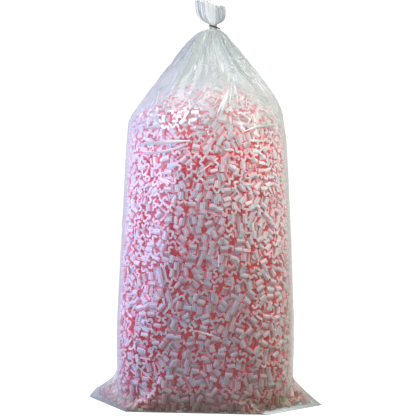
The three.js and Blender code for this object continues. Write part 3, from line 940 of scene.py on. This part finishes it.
# %% The colour of the foam
def foam_colour(tree, painted_red, groove, object_place):
    # painted shade: the grooves are painted pinker than the faces between them
    pink = add_node(tree, "ShaderNodeMix", {
        "Factor": groove, "A": linear(GROOVE_SHADE_PINK), "B": linear(FOAM_PALE)}, data_type="RGBA")
    # painted bounce light: faces sunk between the peanuts are painted red
    colour = add_node(tree, "ShaderNodeMix", {
        "Factor": painted_red, "A": pink.outputs["Result"], "B": linear(PAINTED_GAP_RED)}, data_type="RGBA")
    tint = add_node(tree, "ShaderNodeAttribute", attribute_name="tint")
    value = add_node(tree, "ShaderNodeMapRange", {"Value": tint.outputs["Fac"], "To Min": 0.9, "To Max": 1.03})
    varied = add_node(tree, "ShaderNodeHueSaturation", {
        "Color": colour.outputs["Result"], "Value": value.outputs["Result"]})
    # painted shade: the foam is painted darker and browner towards the floor
    up = add_node(tree, "ShaderNodeSeparateXYZ", {0: object_place})
    foot = add_node(tree, "ShaderNodeMapRange", {
        "Value": up.outputs["Z"], "From Min": FOOT_SHADE_TOP, "From Max": 0.0}, interpolation_type="SMOOTHSTEP")
    return add_node(tree, "ShaderNodeMix", {
        "Factor": foot.outputs["Result"], "A": varied.outputs["Color"], "B": linear(FOOT_SHADE)},
        data_type="RGBA", blend_type="MULTIPLY").outputs["Result"]


# %% The foam material
def foam_material():
    material, tree = new_material("polystyrene_foam_extruded")
    place = add_node(tree, "ShaderNodeTexCoord")
    painted_red, groove = painted_red_share(tree), groove_share(tree)
    colour = foam_colour(tree, painted_red, groove, place.outputs["Object"])
    cells = add_node(tree, "ShaderNodeTexVoronoi", {
        "Vector": place.outputs["Object"], "Scale": CELLS_PER_METRE})
    rough = add_node(tree, "ShaderNodeBump", {
        "Height": cells.outputs["Distance"], "Strength": 0.3, "Distance": 0.6 * MM})
    lines = add_node(tree, "ShaderNodeBump", {
        "Height": groove, "Strength": 0.45, "Distance": 1 * MM, "Normal": rough.outputs["Normal"]})
    glow = add_node(tree, "ShaderNodeAttribute", attribute_name="glow")
    # painted glow: a weak red emission where the foam is painted red
    painted_glow = add_node(tree, "ShaderNodeMath", {0: glow.outputs["Fac"], 1: painted_red}, operation="MULTIPLY")
    strength = add_node(tree, "ShaderNodeMath", {0: painted_glow.outputs[0], 1: GLOW}, operation="MULTIPLY")
    skin = add_node(tree, "ShaderNodeBsdfPrincipled", {
        "Base Color": colour, "Roughness": 0.8, "Normal": lines.outputs["Normal"],
        "Specular IOR Level": 0.25, "Subsurface Weight": 1.0, "Subsurface Radius": FOAM_REACH,
        "Subsurface Scale": 1 * MM, "Emission Color": linear(GLOW_RED), "Emission Strength": strength.outputs[0]})
    add_node(tree, "ShaderNodeOutputMaterial", {"Surface": skin.outputs["BSDF"]})
    return material


foam = foam_material()
print("foam material:", len(foam.node_tree.nodes), "nodes")

# %% [markdown]
# ### Blown polyethylene film
# The bag is low-density polyethylene, blown from a ring-shaped die into a thin tube. It is clear and glossy, and
# its tiny crystals make it slightly milky. Seen square on it hides almost nothing. Seen at a slant there is more
# film in the way, so the sides of the bag look milkier and mirror more. The slack film of the tent is finely
# crumpled, so it is hazier, and a pinched fold is nearly white. One clear, one milky and one mirroring shader
# are mixed, so that each can be matched by itself. A Principled shader with transmission would bend the light
# as solid plastic does, and film this thin doesn't.

# %% Colours and haze of the film
HAZE = "#DCDFDF"
TIGHT_FILM = "#FCFDFD"  # what two faces of tight film let through
SLACK_FILM = "#EEF3F1"
GRAZING_HAZE = (0.035, 0.27)  # milkiness square on and at a slant
SLACK_HAZE = 0.2
FOLD_HAZE = 0.5
FOLD_GLOSS = 0.6
MIRROR_SQUARE_ON = 0.04  # plastic of IOR 1.5 mirrors 4 percent of what comes straight at it
DENTS_PER_METRE = 22.0  # shallow dents about 45 mm across, where peanuts press from inside
print("film: haze from", GRAZING_HAZE[0], "to", round(GRAZING_HAZE[1] + SLACK_HAZE, 2))


# %% How milky the film is
def film_haze(tree, facing, slack, fold):
    grazing = add_node(tree, "ShaderNodeMapRange", {
        "Value": facing, "From Min": 0.1, "From Max": 1.0,
        "To Min": GRAZING_HAZE[0], "To Max": GRAZING_HAZE[1]}, interpolation_type="SMOOTHSTEP")
    loose = add_node(tree, "ShaderNodeMath", {
        0: slack, 1: SLACK_HAZE, 2: grazing.outputs["Result"]}, operation="MULTIPLY_ADD")
    return add_node(tree, "ShaderNodeMath", {
        0: fold, 1: FOLD_HAZE, 2: loose.outputs[0]}, operation="MULTIPLY_ADD").outputs[0]


# %% The film material
def film_material():
    material, tree = new_material("polyethylene_film_blown")
    place = add_node(tree, "ShaderNodeTexCoord")
    dents = add_node(tree, "ShaderNodeTexNoise", {
        "Vector": place.outputs["Object"], "Scale": DENTS_PER_METRE, "Detail": 2.0, "Roughness": 0.5})
    bump = add_node(tree, "ShaderNodeBump", {
        "Height": dents.outputs["Fac"], "Strength": 0.35, "Distance": 4 * MM})
    slack = add_node(tree, "ShaderNodeAttribute", attribute_name="slack").outputs["Fac"]
    fold = add_node(tree, "ShaderNodeAttribute", attribute_name="fold").outputs["Fac"]
    tone = add_node(tree, "ShaderNodeMix", {
        "Factor": slack, "A": linear(TIGHT_FILM), "B": linear(SLACK_FILM)}, data_type="RGBA")
    clear = add_node(tree, "ShaderNodeBsdfTransparent", {"Color": tone.outputs["Result"]})
    milk = add_node(tree, "ShaderNodeBsdfDiffuse", {"Color": linear(HAZE)})
    shine_through = add_node(tree, "ShaderNodeBsdfTranslucent", {"Color": linear(HAZE)})
    milky = add_node(tree, "ShaderNodeMixShader", {0: 0.5, 1: milk.outputs[0], 2: shine_through.outputs[0]})
    edge = add_node(tree, "ShaderNodeLayerWeight", {"Blend": 0.5, "Normal": bump.outputs["Normal"]})
    haze = film_haze(tree, edge.outputs["Facing"], slack, fold)
    hazy = add_node(tree, "ShaderNodeMixShader", {0: haze, 1: clear.outputs[0], 2: milky.outputs[0]})
    steep = add_node(tree, "ShaderNodeMath", {0: edge.outputs["Facing"], 1: 5.0}, operation="POWER")
    mirror = add_node(tree, "ShaderNodeMapRange", {"Value": steep.outputs[0], "To Min": MIRROR_SQUARE_ON})
    fold_mirror = add_node(tree, "ShaderNodeMath", {
        0: fold, 1: FOLD_GLOSS, 2: mirror.outputs["Result"]}, operation="MULTIPLY_ADD")
    dull = add_node(tree, "ShaderNodeMapRange", {"Value": fold, "To Min": 0.1, "To Max": 0.3})
    gloss = add_node(tree, "ShaderNodeBsdfAnisotropic", {
        "Color": linear("#FFFFFF"), "Roughness": dull.outputs["Result"], "Normal": bump.outputs["Normal"]})
    surface = add_node(tree, "ShaderNodeMixShader", {
        0: fold_mirror.outputs[0], 1: hazy.outputs[0], 2: gloss.outputs[0]})
    add_node(tree, "ShaderNodeOutputMaterial", {"Surface": surface.outputs[0]})
    return material


clear_film = film_material()
film.data.materials.append(clear_film)
folds.data.materials.append(clear_film)
print("film material:", len(clear_film.node_tree.nodes), "nodes")

# %% [markdown]
# ### Plastic-covered wire
# The tie is a soft iron wire between two ribbons of dark plastic, rolled together while hot. That leaves a
# satin skin with faint ribs, and a slightly uneven brown. It is one of the model's own nodes, and its shape is
# right, so it only gets this material.

# %% The tie material
TIE_DARK, TIE_LIGHT = "#331A10", "#4A2A1C"
RIBS_PER_METRE = 900.0  # ribs about a millimetre apart


def tie_material():
    material, tree = new_material("plastic_covered_wire")
    place = add_node(tree, "ShaderNodeTexCoord")
    ribs = add_node(tree, "ShaderNodeTexNoise", {
        "Vector": place.outputs["Object"], "Scale": RIBS_PER_METRE, "Detail": 1.0})
    brown = add_node(tree, "ShaderNodeMix", {
        "Factor": ribs.outputs["Fac"], "A": linear(TIE_DARK), "B": linear(TIE_LIGHT)}, data_type="RGBA")
    rolled = add_node(tree, "ShaderNodeBump", {
        "Height": ribs.outputs["Fac"], "Strength": 0.4, "Distance": 0.2 * MM})
    coat = add_node(tree, "ShaderNodeBsdfPrincipled", {
        "Base Color": brown.outputs["Result"], "Roughness": 0.4, "Normal": rolled.outputs["Normal"]})
    add_node(tree, "ShaderNodeOutputMaterial", {"Surface": coat.outputs["BSDF"]})
    return material


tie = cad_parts["twist_tie"]
tie.data.materials.clear()
tie.data.materials.append(tie_material())

# %% [markdown]
# ## The peanuts as plain meshes
# Each band of the pack becomes one mesh. The points get their turn and a random tint, the tree puts the peanuts
# on them, and the evaluated result is copied to a plain mesh, so no modifier is left. Foam gives a little, so
# corners that stand past the packing's smooth wall are pressed back towards it. The wall has no creases: where a
# crease dents the shoulder's film, some corners still stand outside the film by a few millimetres. Then each
# corner of each peanut is told how deep it lies, which way is out, and how strong a painted red glow it gets. The
# glow is painted light: the crown is painted brightest, because the room shines in from above, and the foot least.

# %% What each point of a mesh knows
# painted glow: strength of the red emission by height, most at the crown and least at the foot
GLOW_HEIGHTS = [0.0, 0.15, 0.5, 0.85, 1.05]
GLOW_SHARES = [0.5, 0.7, 1.0, 1.2, 2.7]
PRESSED_TO = 1.6 * MM  # how far past the packing's smooth wall a corner may stand
SIDE, BASE = 0, 2  # faces of the fill, by their place in what depths() gives; 1 is the crown


def add_values(mesh, name, values, kind="FLOAT"):
    """Stores one number or one vector for each point of a mesh."""
    field = "vector" if kind == "FLOAT_VECTOR" else "value"
    mesh.attributes.new(name, kind, "POINT").data.foreach_set(field, np.ravel(values))


def press_and_mark(mesh):
    """Presses corners past the packing's side or base wall back towards it, and stores what each point knows."""
    spots = np.empty(len(mesh.vertices) * 3)
    mesh.vertices.foreach_get("co", spots)
    spots = spots.reshape(-1, 3)
    pressed = 0.0
    for face in (SIDE, BASE):  # no film lies on the crown
        depth, normal = depths(spots)
        past = np.maximum(-PRESSED_TO - depth[:, face], 0)
        spots -= past[:, None] * normal[:, face]
        pressed = max(pressed, float(past.max()))
    mesh.vertices.foreach_set("co", spots.ravel())
    mesh.update()
    below, outward = shell_place(spots)
    add_values(mesh, "depth", below)
    add_values(mesh, "outward", outward, "FLOAT_VECTOR")
    # painted glow by height
    add_values(mesh, "glow", np.interp(spots[:, 2], GLOW_HEIGHTS, GLOW_SHARES))
    return pressed


print("red light at the floor and at the crown:", GLOW_SHARES[0], GLOW_SHARES[-1])

# %% One mesh for each band
BAND_NAMES = ["peanuts_low", "peanuts_middle", "peanuts_high", "peanuts_crown"]
bands = np.array_split(np.argsort(centres[:, 2], kind="stable"), len(BAND_NAMES))
tints = rng.uniform(0, 1, len(centres))
turn_values = quaternions(turns)
tree = placing_tree(peanut_shape, foam)
size_socket = tree.interface.items_tree["Size"].identifier
peanut_pieces = []
for name, band in zip(BAND_NAMES, bands):
    cloud = mesh_object("points", centres[band], [])
    add_values(cloud.data, "turn", turn_values[band], "QUATERNION")
    add_values(cloud.data, "tint", tints[band])
    placer = cloud.modifiers.new("place", "NODES")
    placer.node_group = tree
    placer[size_socket] = 1.0
    depsgraph = bpy.context.evaluated_depsgraph_get()
    mesh = bpy.data.meshes.new_from_object(cloud.evaluated_get(depsgraph))
    mesh.name = name
    piece = bpy.data.objects.new(name, mesh)
    bpy.context.scene.collection.objects.link(piece)
    bpy.data.objects.remove(cloud)
    pressed = press_and_mark(mesh)
    peanut_pieces.append(piece)
    print(name, len(band), "peanuts, corners pressed in by at most", round(pressed / MM, 1), "mm")
bpy.data.objects.remove(peanut_shape)

# %% [markdown]
# ## The unseen middle
# Behind the outer layers only a little red shows through the gaps. So one closed, lumpy solid fills the middle:
# rows of points on the bag's own shape, drawn in by the layers' depth, with three rings and a point to close the
# crown. It takes the foam material at full depth, so it is painted the full gap red and gets the painted glow,
# and it stands for the model's solid fill.

# %% The core's sides and crown
CORE_INSET = 55 * MM
CORE_DROP = 45 * MM  # how far its crown lies below the heap's
CORE_FLOOR = 50 * MM
CORE_COLUMNS = 96
CORE_ROWS = 50
CORE_LUMP = 5 * MM
core_rows = np.linspace(CORE_FLOOR, SHOULDER_Z - 20 * MM, CORE_ROWS)
core_ring, core_z = np.meshgrid(np.linspace(-math.pi, math.pi, CORE_COLUMNS + 1)[:-1], core_rows)
core_reach = np.minimum(read_grid(WALL, core_ring, core_z), half_width(core_z)) - CORE_INSET
core_reach += CORE_LUMP * np.sin(core_ring * 37 + 3 * np.sin(core_z * 90)) * np.sin(core_z * 150)
sides = np.stack([BODY_AXIS_X + core_reach * np.cos(core_ring), core_reach * np.sin(core_ring), core_z], -1)
caps = []
for share in (0.8, 0.55, 0.3):
    top = sides[-1].copy()
    top[:, 0] = BODY_AXIS_X + share * (top[:, 0] - BODY_AXIS_X)
    top[:, 1] *= share
    top[:, 2] = heap_height(share) - CORE_DROP + CORE_LUMP * np.sin(17 * core_ring[0] + 9 * share)
    caps.append(top)
print("core:", len(sides) + len(caps), "rings of", CORE_COLUMNS, "points")


# %% The core's mesh
def ring_faces(rings, columns):
    """Faces of stacked rings, closed by a point below the first ring and a point above the last."""
    made = [(0, 1 + (i + 1) % columns, 1 + i) for i in range(columns)]
    for k in range(rings - 1):
        low, high = 1 + k * columns, 1 + (k + 1) * columns
        made += [(low + i, low + (i + 1) % columns, high + (i + 1) % columns, high + i) for i in range(columns)]
    last = 1 + (rings - 1) * columns
    return made + [(last + i, last + (i + 1) % columns, last + columns) for i in range(columns)]


core_points = np.concatenate([
    [[BODY_AXIS_X, 0, CORE_FLOOR]], *sides, *caps, [[BODY_AXIS_X, 0, heap_height(0) - CORE_DROP]]])
core = mesh_object("peanut_core", core_points, ring_faces(len(sides) + len(caps), CORE_COLUMNS))
# full depth and the glow by height: the core is painted the full gap red, with the painted glow
add_values(core.data, "depth", np.full(len(core_points), SHELL_DEPTH))
add_values(core.data, "glow", np.interp(core_points[:, 2], GLOW_HEIGHTS, GLOW_SHARES))
core.data.materials.append(foam)
print("core:", len(core.data.polygons), "faces")

# %% [markdown]
# ## The model's own loose peanuts
# The peanuts that lie loose on the crown are the model's own nodes, and their shape is right. They stay, and
# take the foam material. They carry no depths, so they are as pale as the peanuts that look out at the room.

# %% Dress the loose peanuts
for number in range(1, LOOSE_PEANUTS + 1):
    own_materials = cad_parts[f"peanut_{number:02d}"].data.materials
    own_materials.clear()
    own_materials.append(foam)
print("dressed", LOOSE_PEANUTS, "loose peanuts")

# %% [markdown]
# ## Floor and light
# The bag stands on a pale floor that runs into a white background. A white floor that is looked at straight has
# to stay white even in the bag's shadow, so it glows for the camera only. For all other light it is a dull
# brown, as a warehouse floor is, which warms and darkens the foot of the bag.

# %% The floor
FLOOR_CORNERS = [(-8, -6, 0), (8, -6, 0), (8, 12, 0), (-8, 12, 0)]
floor_mesh = bpy.data.meshes.new("floor")
floor_mesh.from_pydata(FLOOR_CORNERS, [], [(0, 1, 2, 3)])
floor = bpy.data.objects.new("floor", floor_mesh)
bpy.context.scene.collection.objects.link(floor)
floor_paint, tree = new_material("floor_paint")
paint = add_node(tree, "ShaderNodeBsdfDiffuse", {"Color": linear("#8C8C8C")})
glow = add_node(tree, "ShaderNodeEmission", {"Color": linear("#FFFFFF"), "Strength": 1.0})
lit = add_node(tree, "ShaderNodeAddShader", {0: paint.outputs[0], 1: glow.outputs[0]})
bounce = add_node(tree, "ShaderNodeBsdfDiffuse", {"Color": linear("#5A3E28")})
looked_at = add_node(tree, "ShaderNodeLightPath")
either = add_node(tree, "ShaderNodeMixShader", {
    0: looked_at.outputs["Is Camera Ray"], 1: bounce.outputs[0], 2: lit.outputs[0]})
add_node(tree, "ShaderNodeOutputMaterial", {"Surface": either.outputs[0]})
floor.data.materials.append(floor_paint)
floor.visible_glossy = False
print("floor:", len(floor.data.polygons), "face")


# %% [markdown]
# A cool box and a large cool window stand on the left, and a warmer box and a weaker window on the right, so the
# two sides of the bag differ slightly, as they do near a real window. One box above the front lights the body
# from the top down, a small one with a grid lights only the crown, and two weak ones light the back. Three
# narrow strips are there for the film: they put the long thin highlights on its shoulders and folds. Boxes that
# would show as a bright square in the film are hidden from its mirror.

# %% Soft boxes
def soft_box(name, place, aim, width, height, power, colour, in_gloss, spread=180):
    lamp = bpy.data.lights.new(name, "AREA")
    lamp.shape = "RECTANGLE"
    lamp.size, lamp.size_y = width, height
    lamp.energy = power
    lamp.spread = math.radians(spread)  # a grid in front of a box keeps its light in a narrow cone
    lamp.color = linear(colour)[:3]
    made = bpy.data.objects.new(name, lamp)
    bpy.context.scene.collection.objects.link(made)
    made.location = place
    away = Vector(place) - Vector(aim)
    made.rotation_euler = away.to_track_quat("Z", "Y").to_euler()
    made.visible_glossy = in_gloss
    return made


SOFT_BOXES = [  # name, place, aim, width, height, watts, colour, whether the film mirrors it, and its spread
    ("left_soft_box", (-1.7, -0.6, 1.3), (0, 0, 0.7), 0.8, 0.8, 44, "#CFD0FF", False),
    ("left_window", (-2.6, -2.0, 1.2), (0, 0, 0.7), 2.2, 2.2, 29, "#D2D0FF", True),
    ("right_soft_box", (1.5, -0.9, 2.75), (0, 0, 1.0), 0.8, 0.8, 68, "#F8F6F2", False),
    ("front_soft_box", (0, -1.3, 2.85), (0, 0, 1.1), 1.0, 0.6, 24, "#FBFDFF", False),
    ("crown_grid_box", (0.1, -2.4, 1.5), (0.08, -0.2, 1.09), 0.3, 0.3, 0.3, "#FFFFFF", False, 25),
    ("right_window", (2.6, -2.0, 1.0), (0, 0, 0.6), 1.5, 1.5, 9, "#F8F0E6", False),
    ("back_left_soft_box", (-2.6, 2.4, 1.9), (0, 0, 0.8), 1.0, 1.0, 22, "#FFFFFF", False),
    ("back_right_soft_box", (2.6, 2.4, 1.9), (0, 0, 0.8), 1.0, 1.0, 22, "#FFFFFF", False),
    ("left_strip", (-2.0, -0.8, 1.95), (0, 0, 1.1), 0.3, 0.9, 3.5, "#E6E2FF", True),
    ("right_strip", (2.0, -0.8, 1.95), (0, 0, 1.1), 0.3, 0.9, 4, "#FFF8EC", True),
    ("top_strip", (-0.2, -0.6, 3.0), (-0.2, -0.2, 1.0), 3.2, 0.4, 11, "#FFFFFF", True),
]
for box in SOFT_BOXES:
    soft_box(*box)
print("soft boxes:", len(SOFT_BOXES))

# %% [markdown]
# The room is a weak light from all round: cool on the left, warm on the right, bright above and brown below.
# The film mirrors a brighter room than the one that lights the foam, and the camera sees plain white. Clear film
# is many layers deep in the tent, so light may pass through many clear faces and bounce often.

# %% Colours of the room
SIDE_TINTS = [(0, "#D2DAF4"), (0.5, "#FFFFFF"), (1, "#F0EAD2")]
HEIGHT_TINTS = [(0, "#5A3A26"), (0.45, "#A08674"), (0.62, "#F2F2F2"), (1, "#FFFFFF")]
FOAM_ROOM, FILM_ROOM, BACKDROP = 0.17, 0.72, 1.1


def tint_along(tree, direction, stops):
    """A colour that changes from one end of the room to the other, along one direction."""
    share = add_node(tree, "ShaderNodeMapRange", {"Value": direction, "From Min": -1.0})
    made = add_node(tree, "ShaderNodeValToRGB", {0: share.outputs["Result"]})
    ramp = made.color_ramp
    ramp.elements[0].color, ramp.elements[1].color = linear(stops[0][1]), linear(stops[-1][1])
    for place, colour in stops[1:-1]:
        ramp.elements.new(place).color = linear(colour)
    return made.outputs["Color"]


print("the film mirrors a room", round(FILM_ROOM / FOAM_ROOM, 1), "times as bright as the foam's")

# %% The room
world = bpy.data.worlds.new("studio")
bpy.context.scene.world = world
world.use_nodes = True
tree = world.node_tree
tree.nodes.clear()
toward = add_node(tree, "ShaderNodeTexCoord")
parts = add_node(tree, "ShaderNodeSeparateXYZ", {0: toward.outputs["Generated"]})
side_tint = tint_along(tree, parts.outputs["X"], SIDE_TINTS)
height_tint = tint_along(tree, parts.outputs["Z"], HEIGHT_TINTS)
both = add_node(tree, "ShaderNodeMix", {
    "Factor": 1.0, "A": side_tint, "B": height_tint},
    data_type="RGBA", blend_type="MULTIPLY")
seen = add_node(tree, "ShaderNodeLightPath")
white = add_node(tree, "ShaderNodeBackground", {"Color": linear("#FFFFFF"), "Strength": BACKDROP})
room = add_node(tree, "ShaderNodeBackground", {"Color": both.outputs["Result"], "Strength": FOAM_ROOM})
sheen = add_node(tree, "ShaderNodeBackground", {"Color": side_tint, "Strength": FILM_ROOM})
lit_room = add_node(tree, "ShaderNodeMixShader", {
    0: seen.outputs["Is Glossy Ray"], 1: room.outputs[0], 2: sheen.outputs[0]})
pick = add_node(tree, "ShaderNodeMixShader", {
    0: seen.outputs["Is Camera Ray"], 1: lit_room.outputs[0], 2: white.outputs[0]})
add_node(tree, "ShaderNodeOutputWorld", {"Surface": pick.outputs[0]})
bpy.context.scene.view_settings.view_transform = "Standard"
bpy.context.scene.cycles.transparent_max_bounces = 32
bpy.context.scene.cycles.diffuse_bounces = 8
bpy.context.scene.cycles.max_bounces = 16
print("room:", len(tree.nodes), "nodes")

# %% [markdown]
# ## What each piece stands for
# Nothing on the bag moves, so every piece rides on the one body. The core stands for the model's solid fill and
# the creased film for the model's film. The film is one sheet: a lay-flat tube 1.02 m wide and 1.93 m long, so
# 2.04 m by 1.93 m if it is slit open.

# %% Bodies and replaced nodes
for piece in [*peanut_pieces, core]:
    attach(piece, "root")
for piece in (folds, film):
    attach(piece, "root")
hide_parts("peanut_fill")
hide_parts("bag_film")
print("pieces:", len(peanut_pieces) + 3)
